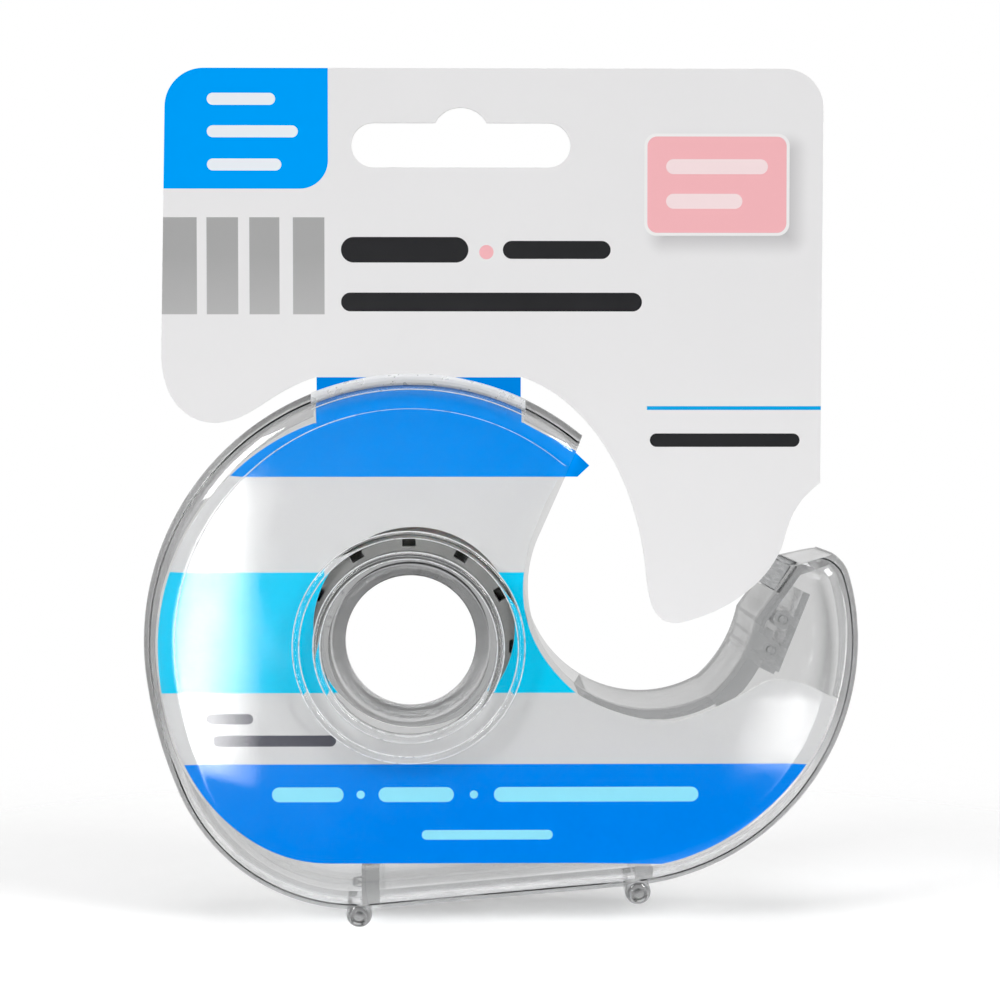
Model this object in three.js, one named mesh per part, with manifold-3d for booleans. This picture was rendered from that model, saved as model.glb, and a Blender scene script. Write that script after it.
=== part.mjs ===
// A clear tape dispenser on a printed hang card.
// Millimetres, +Z up. The case's flat front faces -Y, and its nose with the cutter points to +X.
// The pieces are drawn about the hub's axis, and the finished group is moved so that its origin
// is at the middle of its base.

import * as THREE from 'three';
import { mergeVertices } from 'three/addons/utils/BufferGeometryUtils.js';
import Module from 'manifold-3d';

const wasm = await Module();
wasm.setup();

// ---- Driving dimensions ----

const GAP = 0.3;                      // clearance between pieces that touch or rest on each other
const REACH = 200;                    // longer than the whole object, for cutting tools

// Tape and core
const TAPE_WIDTH = 18;
const CORE_BORE_RADIUS = 12.7;        // one-inch core
const CORE_WALL = 2.2;
const TAPE_LEFT_ON_CORE = 1.4;        // radial thickness of the wound tape
const NOTCH_COUNT = 12;               // small pockets in the core's front end
const NOTCH_RADIUS = 14;              // from the axis to the middle of a notch
const NOTCH_WIDTH = 1.8;
const NOTCH_HEIGHT = 1.1;
const NOTCH_DEPTH = 2;

// Case
const CASE_DEPTH = 23;
const FACE_WALL = 1.4;                // front and rear walls
const RIM_WALL = 1.5;
const SHOULDER = 4.6;                 // radius between the front or rear face and the rim
const RIM_RADIUS = 36.2;              // round part of the case
const RIM_CENTRE = [0.3, 0.4];
const CARD_THICKNESS = 0.4;

// The case's outline after the round rim: [radius, degrees] is an arc tangent to what comes
// before it, and [length] is a straight run.
const RIM_END_ANGLE = 188;            // degrees, where the round part ends at the back
const LOWER_BACK = [60.7, 15];
const HEEL = [26.5, 72];
const BASE = [35];
const BELLY = [33.5, 94.5];
const NOSE_FRONT = [28, 7.5];
const NOSE_TOP = [5, 72];

// Hub
const HUB_TUBE_RADIUS = 12.3;
const HUB_TUBE_WALL = 1.4;
const HUB_WEB_HOLE_RADIUS = 9;        // hole in the web half-way down the tube
const HUB_WEB_EDGE = 1.2;              // thickness of the web at its hole
const HUB_WEB_ROOT = 7;               // thickness where it meets the tube
const HUB_WEB_LEVEL = -0.6;           // middle of the web along Y
const MOUTH_RADIUS = 11.7;
const MOUTH_LIP_RADIUS = 12.3;        // middle of the lip round the mouth
const FACE_RING_RADIUS = 15.1;        // middle of the raised ring on the front face
const BEAD_RADIUS = 0.45;             // section of the lip and of the ring

// Feet
const FOOT_RADIUS = 1.75;
const FEET = [[-6.8, -36.4], [30.9, -33.4]];
const CARD_RESTS = [-5.2, 31.6];      // two ribs inside the case that the card stands on
const CARD_REST_WIDTH = 2.4;
const CARD_REST_FOOT = -36;

// Nose
const REST_FOOT = [46.5, 3.8];        // the tape rest is straight from here to the tip
const NOSE_TIP = [51.6, 10.9];
const NOSE_PEAK = [57.2, 12.3];
const WEB_TOP = [53.4, 7.2];
const WEB_FOOT = [49.2, -3.3];
const WEB_BRACE = [45.4, -1.4];       // the brace runs from the web's foot back to the pad here
const WEB_THICKNESS = 1;
const PIN_SOCKETS = [[50.2, 3.6], [48.6, -0.5]];
const SOCKET_RADIUS = 1.3;
const PIN_RADIUS = 0.55;
const PIN_LENGTH = 4;
const PAD_THICKNESS = 1.3;            // thicker stretch of the throat wall, behind the tape rest
const PAD_START_X = 40;
const PAD_TOP_Z = 3;
const BLADE_THICKNESS = 0.4;
const BLADE_HEIGHT = 4.4;
const BLADE_OVERHANG = 0.7;           // how far the teeth stand above the nose
const TOOTH_PITCH = 1.5;
const TOOTH_HEIGHT = 0.6;

// Throat
const THROAT_CENTRE = [32.5, 8.2];
const THROAT_RADIUS = 16.6;
const THROAT_START = 158;             // degrees, where the round part meets the straight upper edge
const THROAT_END = 300;
const THROAT_TO_REST = [45.2, -2.2];  // control point of the curve between the arc and the rest
const THROAT_WALL_START_X = 23.5;     // to the left of this the throat is open to the roll
const LIP_END = [23.7, 29.2];         // where the rim ends above the throat

// Card
const CARD_LEFT = -32.4;
const CARD_RIGHT = 55.4;
const CARD_TOP = 77.2;
const CARD_CORNER = 5.2;
const SLOT_BAR = [7, 67, 14.6, 2.95]; // hang slot: middle x and z, half length, half height
const SLOT_HUMP_RADIUS = 3.9;
const SLOT_HUMP_TOP = 72;
const NECK_LEFT = -12.3;
const NECK_RIGHT = 15;
const NECK_BOTTOM = 30;
const NECK_TOP = 40;
const SHOULDER_Z = 36.2;              // the header's lower edge beside the neck
const LABEL_BOTTOM = -29.2;
const LABEL_LEFT = -33.4;
const LABEL_HOLE = [0.7, 2.6, 13.5];  // middle x and z, radius

// Curved edges of the card, point after point: one point ends a straight line, two are the
// control and end of a quadratic curve, three are the controls and end of a cubic one.
const LEFT_EAR = [
  [[CARD_LEFT - 0.6, 39]],
  [[CARD_LEFT - 0.6, 33], [-29.5, 29.8], [-25.5, 30]],
  [[-20.5, 30.6], [-19, 34], [NECK_LEFT, SHOULDER_Z]],
];
const THROAT_EAR = [
  [[22, 34], [29.5, 26], [31.6, 12]],
  [[32.2, 6], [32.5, 3.2], [36, 3.1]],
  [[42.5, 4.3], [48.6, 8.6], [50.3, 14]],
  [[51.2, 17.6], [52, 19.4], [55.2, 22]],
];
const LABEL_ROUND = [
  [[-24, 26], [LABEL_LEFT, 14], [LABEL_LEFT, 0]],
  [[LABEL_LEFT, -16], [-24, LABEL_BOTTOM], [-10.7, LABEL_BOTTOM]],
  [[33.9, LABEL_BOTTOM]],
  [[45, -27], [55, -17], [57.2, -7.2]],
];
const LABEL_THROAT = [
  [[52, -3.6], [47.6, -4.8]],
  [[41, -8.9], [35.5, -10.2]],
  [[28.5, -10], [22.6, -6.4]],
  [[13.2, 1.5], [13.4, 11], [20.2, 22.8]],
  [[22.6, 22.8]],
  [[24.2, 24.3]],
  [[22.4, 26]],
];

// ---- Levels along Y, worked out from the above ----

const FRONT = -CASE_DEPTH / 2;
const BACK = CASE_DEPTH / 2;
const COVER_INSIDE = FRONT + FACE_WALL;
const CARD_FRONT = COVER_INSIDE + GAP;
const CARD_BACK = CARD_FRONT + CARD_THICKNESS;
const SEAM = CARD_FRONT;              // the cover ends and the shell begins here
const ROLL_FRONT = CARD_BACK + GAP;
const ROLL_BACK = ROLL_FRONT + TAPE_WIDTH;
const REAR_INSIDE = BACK - FACE_WALL;
const CORE_RADIUS = CORE_BORE_RADIUS + CORE_WALL;
const ROLL_RADIUS = CORE_RADIUS + TAPE_LEFT_ON_CORE;
const HUB_BORE_RADIUS = HUB_TUBE_RADIUS - HUB_TUBE_WALL;

// Sides of a round solid
const FINE = 64;
const COARSE = 16;

// ---- Solids ----

function toSolid(geometry) {
  const bare = geometry.index ? geometry.toNonIndexed() : geometry.clone();
  bare.deleteAttribute('normal');
  bare.deleteAttribute('uv');
  const merged = mergeVertices(bare, 1e-4);
  const mesh = new wasm.Mesh({
    numProp: 3,
    vertProperties: new Float32Array(merged.attributes.position.array),
    triVerts: new Uint32Array(merged.index.array),
  });
  return new wasm.Manifold(mesh);
}

function toGeometry(solid) {
  const mesh = solid.getMesh();
  const geometry = new THREE.BufferGeometry();
  geometry.setAttribute('position', new THREE.BufferAttribute(mesh.vertProperties, 3));
  geometry.setIndex(new THREE.BufferAttribute(mesh.triVerts, 1));
  geometry.computeVertexNormals();
  return geometry;
}

const join = (solids) => solids.reduce((whole, piece) => whole.add(piece));
const cut = (solid, tools) => tools.reduce((left, tool) => left.subtract(tool), solid);

// A flat outline in X and Z, made into a slab between two levels of Y, with rounded edges if asked.
function slab(outline, near, far, edge = 0) {
  const shape = outline instanceof THREE.Shape ? outline : new THREE.Shape(outline);
  const geometry = new THREE.ExtrudeGeometry(shape, {
    depth: far - near - 2 * edge,
    bevelEnabled: edge > 0,
    bevelThickness: edge,
    bevelSize: edge,
    bevelOffset: -edge,
    bevelSegments: 5,
    curveSegments: 12,
  });
  geometry.translate(0, 0, edge - far);
  geometry.rotateX(Math.PI / 2);
  return toSolid(geometry);
}

function cylinder([x, z], radius, near, far, sides = COARSE) {
  const geometry = new THREE.CylinderGeometry(radius, radius, far - near, sides);
  geometry.translate(x, (near + far) / 2, z);
  return toSolid(geometry);
}

// A ring of round section about the hub's axis, at one level of Y.
function bead(radius, section, level) {
  const geometry = new THREE.TorusGeometry(radius, section, 10, FINE);
  geometry.rotateX(Math.PI / 2);
  geometry.translate(0, level, 0);
  return toSolid(geometry);
}

// A closed profile of (radius, y) points turned about the hub's axis.
function turned(profile) {
  const points = [...profile, profile[0]].map(([radius, y]) => new THREE.Vector2(radius, y));
  return toSolid(new THREE.LatheGeometry(points, FINE));
}

// A straight bar between two points of the X-Z plane.
function bar([x1, z1], [x2, z2], width, near, far) {
  const geometry = new THREE.BoxGeometry(Math.hypot(x2 - x1, z2 - z1), far - near, width);
  geometry.rotateY(-Math.atan2(z2 - z1, x2 - x1));
  geometry.translate((x1 + x2) / 2, (near + far) / 2, (z1 + z2) / 2);
  return toSolid(geometry);
}

// ---- Outlines in X and Z ----

// Goes round a chain of tangent arcs and straight runs: [radius, degrees] turns left, and
// [length] goes straight on.
function walk(start, heading, steps, degreesPerPoint = 7) {
  const points = [new THREE.Vector2(...start)];
  let direction = THREE.MathUtils.degToRad(heading);
  for (const [size, degrees] of steps) {
    const from = points.at(-1);
    const along = new THREE.Vector2(Math.cos(direction), Math.sin(direction));
    if (degrees === undefined) {
      points.push(along.multiplyScalar(size).add(from));
      continue;
    }
    const turn = THREE.MathUtils.degToRad(degrees);
    const count = Math.ceil(degrees / degreesPerPoint);
    const centre = new THREE.Vector2(-along.y, along.x).multiplyScalar(size).add(from);
    for (let i = 1; i <= count; i += 1) {
      const angle = direction + turn * i / count;
      points.push(new THREE.Vector2(Math.sin(angle), -Math.cos(angle)).multiplyScalar(size).add(centre));
    }
    direction += turn;
  }
  return points;
}

// The case from the end of the rim, round the back and under the feet, to the tip of the nose.
function caseOutline() {
  const [x, z] = RIM_CENTRE;
  const lipAngle = Math.atan2(LIP_END[1] - z, LIP_END[0] - x);
  const start = [x + RIM_RADIUS * Math.cos(lipAngle), z + RIM_RADIUS * Math.sin(lipAngle)];
  const lipDegrees = THREE.MathUtils.radToDeg(lipAngle);
  const rim = [RIM_RADIUS, RIM_END_ANGLE - lipDegrees];
  return walk(start, lipDegrees + 90, [rim, LOWER_BACK, HEEL, BASE, BELLY, NOSE_FRONT, NOSE_TOP]);
}

// The throat's edge, from the end of the rim, down the open side and along the tape rest to the nose.
function throatEdge() {
  const [x, z] = THROAT_CENTRE;
  const startAngle = THREE.MathUtils.degToRad(THROAT_START);
  const endAngle = THREE.MathUtils.degToRad(THROAT_END);
  const path = new THREE.Path();
  path.moveTo(...LIP_END);
  path.lineTo(x + THROAT_RADIUS * Math.cos(startAngle), z + THROAT_RADIUS * Math.sin(startAngle));
  path.absarc(x, z, THROAT_RADIUS, startAngle, endAngle, false);
  path.quadraticCurveTo(...THROAT_TO_REST, ...REST_FOOT);
  path.lineTo(...NOSE_TIP);
  path.lineTo(...NOSE_PEAK);
  return path.getPoints(18);
}

// Moves a line sideways, to the right of the way it goes for a positive distance.
function sideways(points, distance) {
  return points.map((point, i) => {
    const before = points[Math.max(i - 1, 0)];
    const after = points[Math.min(i + 1, points.length - 1)];
    const along = after.clone().sub(before).normalize();
    return new THREE.Vector2(along.y, -along.x).multiplyScalar(distance).add(point);
  });
}

// The throat as a cutting tool: its edge, closed well outside the case.
function throatTool(edge) {
  const beyond = [[NOSE_PEAK[0], REACH], [LIP_END[0] + 2, LIP_END[1] + 4]];
  return slab([...edge, ...beyond.map((point) => new THREE.Vector2(...point))], -REACH, REACH);
}

// ---- Case ----

const outline = caseOutline();
const edge = throatEdge();
const restStart = edge.findIndex((point) => point.x > THROAT_WALL_START_X && point.y < 0);
const rest = edge.slice(restStart);
const outside = slab(outline, FRONT, BACK, SHOULDER);

// The throat wall: a band along the tape rest, from the open side to the tip of the nose.
function throatWall(near, far) {
  const band = [...rest, ...sideways(rest, RIM_WALL).reverse()];
  return slab(band, near, far);
}

// The thicker stretch half-way up the throat wall.
function wallPad(near, far) {
  const stretch = rest.filter((point) => point.x > PAD_START_X && point.y < PAD_TOP_Z);
  const inner = sideways(stretch, RIM_WALL / 2);
  const outer = sideways(stretch, RIM_WALL + PAD_THICKNESS).reverse();
  return slab([...inner, ...outer], near, far);
}

// Both halves of the empty case in one: a hollow with rounded edges and a throat wall, cut by
// the throat.
function caseHollow() {
  const inner = sideways(outline, -RIM_WALL);
  const inside = slab(inner, COVER_INSIDE, REAR_INSIDE, SHOULDER - RIM_WALL);
  return cut(outside, [inside.subtract(throatWall(FRONT, BACK)), throatTool(edge)]);
}

// All of space between two levels of Y, for keeping one layer of a solid.
const slice = (near, far) => slab([
  new THREE.Vector2(-REACH, -REACH), new THREE.Vector2(REACH, -REACH),
  new THREE.Vector2(REACH, REACH), new THREE.Vector2(-REACH, REACH),
], near, far);

// The front plate: the pins that hold it to the shell stand on its inside.
function makeCover(hollow) {
  const plate = hollow.intersect(slice(-REACH, SEAM - GAP));
  const mouth = cylinder([0, 0], MOUTH_RADIUS, -REACH, REACH, FINE);
  const pins = PIN_SOCKETS.map((at) => cylinder(at, PIN_RADIUS, COVER_INSIDE - GAP, SEAM + PIN_LENGTH));
  const rings = [MOUTH_LIP_RADIUS, FACE_RING_RADIUS].map((radius) => bead(radius, BEAD_RADIUS, FRONT));
  return join([plate.subtract(mouth), ...rings, ...pins]);
}

// The shallow seat in the shell's edge that holds the label, and lets the card's neck out at the top.
function cardSeat() {
  const points = labelOutline().getPoints(12);
  return slab(sideways(points, GAP), SEAM - GAP, CARD_BACK + GAP);
}

// The tube the core turns on, with a web inside it that thins towards the web's hole.
function makeHub() {
  return turned([
    [HUB_TUBE_RADIUS, SEAM],
    [HUB_TUBE_RADIUS, BACK],
    [HUB_BORE_RADIUS, BACK],
    [HUB_BORE_RADIUS, HUB_WEB_LEVEL + HUB_WEB_ROOT / 2],
    [HUB_WEB_HOLE_RADIUS, HUB_WEB_LEVEL + HUB_WEB_EDGE / 2],
    [HUB_WEB_HOLE_RADIUS, HUB_WEB_LEVEL - HUB_WEB_EDGE / 2],
    [HUB_BORE_RADIUS, HUB_WEB_LEVEL - HUB_WEB_ROOT / 2],
    [HUB_BORE_RADIUS, SEAM],
  ]);
}

// A rib that the card stands on, from the label's lower edge down into the case's bottom.
function cardRest(x) {
  const top = [x, LABEL_BOTTOM - GAP];
  return bar([x, CARD_REST_FOOT], top, CARD_REST_WIDTH, SEAM, REAR_INSIDE + GAP).intersect(outside);
}

// The rear shell with everything moulded on it.
function makeShell(hollow) {
  const inFar = REAR_INSIDE + GAP;
  const opening = cylinder([0, 0], (HUB_TUBE_RADIUS + HUB_BORE_RADIUS) / 2, -REACH, REACH, FINE);
  const body = hollow.intersect(slice(SEAM, REACH)).subtract(opening);
  const sockets = PIN_SOCKETS.map((at) => cylinder(at, SOCKET_RADIUS, SEAM, inFar));
  const webs = [WEB_TOP, WEB_BRACE].map((end) => bar(WEB_FOOT, end, WEB_THICKNESS, SEAM, inFar));
  const feet = FEET.map((at) => cylinder(at, FOOT_RADIUS, SEAM, BACK - SHOULDER / 2, 2 * COARSE));
  const rests = CARD_RESTS.map(cardRest);
  const whole = join([body, makeHub(), wallPad(SEAM, inFar), ...webs, ...sockets, ...feet, ...rests]);
  const pinHoleRadius = PIN_RADIUS + GAP / 2;
  const holes = PIN_SOCKETS.map((at) => cylinder(at, pinHoleRadius, -REACH, SEAM + PIN_LENGTH + GAP));
  return cut(whole, [...holes, cardSeat(), bladeSeat()]);
}

// ---- Cutter ----

// The straight part of the tape rest carries the blade on its outer side.
const restAngle = Math.atan2(NOSE_TIP[1] - REST_FOOT[1], NOSE_TIP[0] - REST_FOOT[0]);

// Turns a solid drawn with +X up the nose, +Z out of the rest and its origin at the tip.
function onRest(geometry) {
  geometry.rotateY(-restAngle);
  geometry.translate(NOSE_TIP[0], 0, NOSE_TIP[1]);
  return toSolid(geometry);
}

function bladeSeat() {
  const depth = BLADE_THICKNESS + GAP;
  const seat = new THREE.BoxGeometry(BLADE_HEIGHT * 2, TAPE_WIDTH + 2 * GAP, depth);
  seat.translate(0, (ROLL_FRONT + ROLL_BACK) / 2, -depth / 2);
  return onRest(seat);
}

function makeBlade() {
  const teeth = TAPE_WIDTH / TOOTH_PITCH;
  const shape = new THREE.Shape();
  shape.moveTo(BLADE_OVERHANG - TOOTH_HEIGHT, 0);
  for (let i = 0; i < teeth; i += 1) {
    shape.lineTo(BLADE_OVERHANG, (i + 0.5) * TOOTH_PITCH);
    shape.lineTo(BLADE_OVERHANG - TOOTH_HEIGHT, (i + 1) * TOOTH_PITCH);
  }
  shape.lineTo(GAP - BLADE_HEIGHT, TAPE_WIDTH);
  shape.lineTo(GAP - BLADE_HEIGHT, 0);
  shape.closePath();
  const geometry = new THREE.ExtrudeGeometry(shape, { depth: BLADE_THICKNESS, bevelEnabled: false });
  geometry.translate(0, ROLL_FRONT, -BLADE_THICKNESS);
  return onRest(geometry);
}

// ---- Tape ----

function makeCore() {
  const tube = cylinder([0, 0], CORE_RADIUS, ROLL_FRONT, ROLL_BACK, FINE);
  const bore = cylinder([0, 0], CORE_BORE_RADIUS, -REACH, REACH, FINE);
  const notches = [];
  for (let i = 0; i < NOTCH_COUNT; i += 1) {
    const notch = new THREE.BoxGeometry(NOTCH_WIDTH, NOTCH_DEPTH * 2, NOTCH_HEIGHT);
    notch.translate(0, ROLL_FRONT, NOTCH_RADIUS);
    notch.rotateY(i * 2 * Math.PI / NOTCH_COUNT);
    notches.push(toSolid(notch));
  }
  return cut(tube, [bore, ...notches]);
}

function makeRoll() {
  const tape = cylinder([0, 0], ROLL_RADIUS, ROLL_FRONT, ROLL_BACK, FINE);
  return tape.subtract(cylinder([0, 0], CORE_RADIUS + GAP / 2, -REACH, REACH, FINE));
}

// ---- Card ----

// A bar with round ends, and a round hump in the middle of its upper side.
function hangSlot() {
  const [x, z, halfLength, halfHeight] = SLOT_BAR;
  const end = halfLength - halfHeight;
  const slot = new THREE.Shape();
  slot.absarc(x - end, z, halfHeight, Math.PI / 2, Math.PI * 1.5, false);
  slot.absarc(x + end, z, halfHeight, -Math.PI / 2, Math.PI / 2, false);
  slot.closePath();
  const humpAt = [x, SLOT_HUMP_TOP - SLOT_HUMP_RADIUS];
  const hump = cylinder(humpAt, SLOT_HUMP_RADIUS, -REACH, REACH, 2 * COARSE);
  return slab(slot, -REACH, REACH).add(hump);
}

// Adds straight and curved edges to a shape, each given by its control points and its end.
function addEdges(shape, edges) {
  for (const points of edges) {
    const numbers = points.flat();
    if (points.length === 1) shape.lineTo(...numbers);
    if (points.length === 2) shape.quadraticCurveTo(...numbers);
    if (points.length === 3) shape.bezierCurveTo(...numbers);
  }
}

// The hang card above the case, with its rounded corners and the long ear inside the throat.
function headerOutline() {
  const header = new THREE.Shape();
  const cornerZ = CARD_TOP - CARD_CORNER;
  header.moveTo(CARD_LEFT + CARD_CORNER, CARD_TOP);
  header.absarc(CARD_LEFT + CARD_CORNER, cornerZ, CARD_CORNER, Math.PI / 2, Math.PI, false);
  addEdges(header, LEFT_EAR);
  header.lineTo(NECK_LEFT, NECK_BOTTOM);
  header.lineTo(NECK_RIGHT, NECK_BOTTOM);
  header.lineTo(NECK_RIGHT, SHOULDER_Z);
  addEdges(header, THROAT_EAR);
  header.lineTo(CARD_RIGHT, cornerZ);
  header.absarc(CARD_RIGHT - CARD_CORNER, cornerZ, CARD_CORNER, 0, Math.PI / 2, false);
  header.closePath();
  return header;
}

// The label inside the case, below the neck.
function labelOutline() {
  const label = new THREE.Shape();
  label.moveTo(NECK_LEFT, NECK_TOP);
  label.lineTo(NECK_LEFT, NECK_BOTTOM);
  addEdges(label, LABEL_ROUND);
  addEdges(label, LABEL_THROAT);
  label.lineTo(NECK_RIGHT, NECK_BOTTOM);
  label.lineTo(NECK_RIGHT, NECK_TOP);
  label.closePath();
  return label;
}

function makeCard() {
  const header = slab(headerOutline(), CARD_FRONT, CARD_BACK);
  const label = slab(labelOutline(), CARD_FRONT, CARD_BACK);
  const [x, z, radius] = LABEL_HOLE;
  return cut(header.add(label), [hangSlot(), cylinder([x, z], radius, -REACH, REACH, FINE)]);
}

// ---- Assembly ----

function named(name, solid, color, roughness, metalness, opacity = 1) {
  const material = new THREE.MeshStandardMaterial({
    color, roughness, metalness, opacity, transparent: opacity < 1,
  });
  const mesh = new THREE.Mesh(toGeometry(solid), material);
  mesh.name = name;
  return mesh;
}

const hollow = caseHollow();
const pieces = [
  named('front_cover', makeCover(hollow), 0xdfe4e6, 0.08, 0, 0.35),
  named('rear_shell', makeShell(hollow), 0xd2d6d8, 0.1, 0, 0.4),
  named('header_card', makeCard(), 0xe8eaec, 0.35, 0),
  named('cutter_blade', makeBlade(), 0xb8bcc0, 0.3, 1),
  named('tape_core', makeCore(), 0x9a9a96, 0.5, 0),
  named('tape_roll', makeRoll(), 0xe4e6e2, 0.25, 0, 0.8),
];

const assembly = new THREE.Group();
assembly.add(...pieces);
const size = new THREE.Box3().setFromObject(assembly);
assembly.position.set(-(size.min.x + size.max.x) / 2, -(size.min.y + size.max.y) / 2, -size.min.z);

export default assembly;
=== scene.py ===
"""A clear tape dispenser on a printed hang card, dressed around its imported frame."""

import math

import bmesh
import bpy
from mathutils import Matrix, Vector


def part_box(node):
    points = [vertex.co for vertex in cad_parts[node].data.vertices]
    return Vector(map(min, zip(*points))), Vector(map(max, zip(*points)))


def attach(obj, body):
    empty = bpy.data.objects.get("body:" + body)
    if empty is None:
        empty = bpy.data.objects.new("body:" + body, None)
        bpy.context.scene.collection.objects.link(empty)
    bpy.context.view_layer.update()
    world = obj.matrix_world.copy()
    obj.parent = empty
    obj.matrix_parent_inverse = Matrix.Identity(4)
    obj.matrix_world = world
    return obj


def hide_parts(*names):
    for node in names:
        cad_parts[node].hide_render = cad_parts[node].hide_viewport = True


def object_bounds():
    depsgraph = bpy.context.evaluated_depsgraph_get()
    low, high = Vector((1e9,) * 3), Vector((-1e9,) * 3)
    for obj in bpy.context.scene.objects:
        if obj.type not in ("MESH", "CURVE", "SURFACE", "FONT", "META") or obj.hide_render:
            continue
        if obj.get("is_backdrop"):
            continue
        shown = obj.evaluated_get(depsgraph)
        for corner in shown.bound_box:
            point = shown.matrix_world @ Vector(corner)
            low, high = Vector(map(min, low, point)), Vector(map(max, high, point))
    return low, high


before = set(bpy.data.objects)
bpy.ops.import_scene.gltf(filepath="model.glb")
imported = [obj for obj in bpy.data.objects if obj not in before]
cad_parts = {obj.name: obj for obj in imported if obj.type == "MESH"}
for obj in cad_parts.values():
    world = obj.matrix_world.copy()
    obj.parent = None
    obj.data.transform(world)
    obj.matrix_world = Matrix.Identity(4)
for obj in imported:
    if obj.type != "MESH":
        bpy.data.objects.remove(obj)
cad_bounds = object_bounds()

# ---- Scale and place: pieces are drawn in millimetres about the hub's axis ----

MM = 0.001
core_low, core_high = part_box("tape_core")
shell_low, shell_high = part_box("rear_shell")

GAP = 0.3
TAPE_WIDTH = 18.0
CORE_BORE_RADIUS = 12.7
CORE_RADIUS = 14.9
ROLL_RADIUS = 16.3
NOTCH_COUNT = 12
NOTCH_RADIUS = 14.0

CASE_DEPTH = 23.0
FACE_WALL = 1.4
RIM_WALL = 1.5
SHOULDER = 4.6
RIM_RADIUS = 36.2
RIM_CENTRE = (0.3, 0.4)
CARD_THICKNESS = 0.4

FRONT = -CASE_DEPTH / 2
BACK = CASE_DEPTH / 2
COVER_INSIDE = FRONT + FACE_WALL
CARD_FRONT = COVER_INSIDE + GAP
CARD_BACK = CARD_FRONT + CARD_THICKNESS
SEAM = CARD_FRONT
ROLL_FRONT = CARD_BACK + GAP
ROLL_BACK = ROLL_FRONT + TAPE_WIDTH
REAR_INSIDE = BACK - FACE_WALL
FAR = 200.0

HUB = Vector((
    (core_low.x + core_high.x) / 2,
    shell_high.y - BACK * MM,
    (core_low.z + core_high.z) / 2,
))
TO_ROW = Matrix.Translation(HUB) @ Matrix.Scale(MM, 4)

# ---- Flat curves in X and Z ----


def arc(cx, cz, radius, start, end, steps):
    angles = [math.radians(start + (end - start) * i / steps) for i in range(steps + 1)]
    return [(cx + radius * math.cos(a), cz + radius * math.sin(a)) for a in angles]


def bezier(points, steps=24):
    """A Bezier curve of any order, without its first point."""
    curve = []
    for i in range(1, steps + 1):
        t = i / steps
        level = list(points)
        while len(level) > 1:
            level = [
                (a[0] + (b[0] - a[0]) * t, a[1] + (b[1] - a[1]) * t)
                for a, b in zip(level, level[1:])
            ]
        curve.append(level[0])
    return curve


def walk(start, heading, steps, degrees_per_point=1.5):
    """Tangent arcs (radius, degrees) and straight runs (length,), turning left."""
    points = [start]
    direction = math.radians(heading)
    for step in steps:
        x, z = points[-1]
        if len(step) == 1:
            points.append((x + step[0] * math.cos(direction), z + step[0] * math.sin(direction)))
            continue
        radius, degrees = step
        turn = math.radians(degrees)
        count = math.ceil(degrees / degrees_per_point)
        cx = x - radius * math.sin(direction)
        cz = z + radius * math.cos(direction)
        for i in range(1, count + 1):
            angle = direction + turn * i / count
            points.append((cx + radius * math.sin(angle), cz - radius * math.cos(angle)))
        direction += turn
    return points


def sideways(points, distance, closed=False):
    """Moves a line sideways, to the right of the way it goes for a positive distance."""
    moved = []
    count = len(points)
    for i, (x, z) in enumerate(points):
        before = points[i - 1] if closed or i > 0 else points[i]
        after = points[(i + 1) % count] if closed or i < count - 1 else points[i]
        first = Vector((x - before[0], z - before[1]))
        second = Vector((after[0] - x, after[1] - z))
        first = first.normalized() if first.length > 1e-9 else second.normalized()
        second = second.normalized() if second.length > 1e-9 else first
        normal = Vector((first.y + second.y, -(first.x + second.x))).normalized()
        mitre = max(normal.dot(Vector((first.y, -first.x))), 0.5)
        moved.append((x + normal.x * distance / mitre, z + normal.y * distance / mitre))
    return moved


# The case's outline after the lip: arcs as (radius, degrees) and straight runs as (length,).
RIM_END_ANGLE = 188
LOWER_BACK = (60.7, 15)
HEEL = (26.5, 72)
BASE = (35,)
BELLY = (33.5, 94.5)
NOSE_FRONT = (28, 7.5)
NOSE_TOP = (5, 72)

LIP_END = (23.7, 29.2)
THROAT_CENTRE = (32.5, 8.2)
THROAT_RADIUS = 16.6
THROAT_START = 158
THROAT_END = 300
THROAT_TO_REST = (45.2, -2.2)
THROAT_WALL_START_X = 23.5
REST_FOOT = (46.5, 3.8)
NOSE_TIP = (51.6, 10.9)
NOSE_PEAK = (57.2, 12.3)


def case_outline():
    """The case seen from the front as if it had no throat, from the lip round to the nose."""
    cx, cz = RIM_CENTRE
    lip = math.degrees(math.atan2(LIP_END[1] - cz, LIP_END[0] - cx))
    start = arc(cx, cz, RIM_RADIUS, lip, lip, 1)[0]
    return walk(start, lip + 90, [
        (RIM_RADIUS, RIM_END_ANGLE - lip), LOWER_BACK, HEEL, BASE, BELLY, NOSE_FRONT, NOSE_TOP,
    ])


def throat_edge():
    """The throat's edge, from the lip down and round to the nose."""
    points = [LIP_END]
    points += arc(*THROAT_CENTRE, THROAT_RADIUS, THROAT_START, THROAT_END, 90)
    points += bezier([points[-1], THROAT_TO_REST, REST_FOOT])
    return points + [NOSE_TIP, NOSE_PEAK]


outline = case_outline()
edge = throat_edge()
wall_start = next(i for i, (x, z) in enumerate(edge) if x > THROAT_WALL_START_X and z < 0)
rest = edge[wall_start:]

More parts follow.
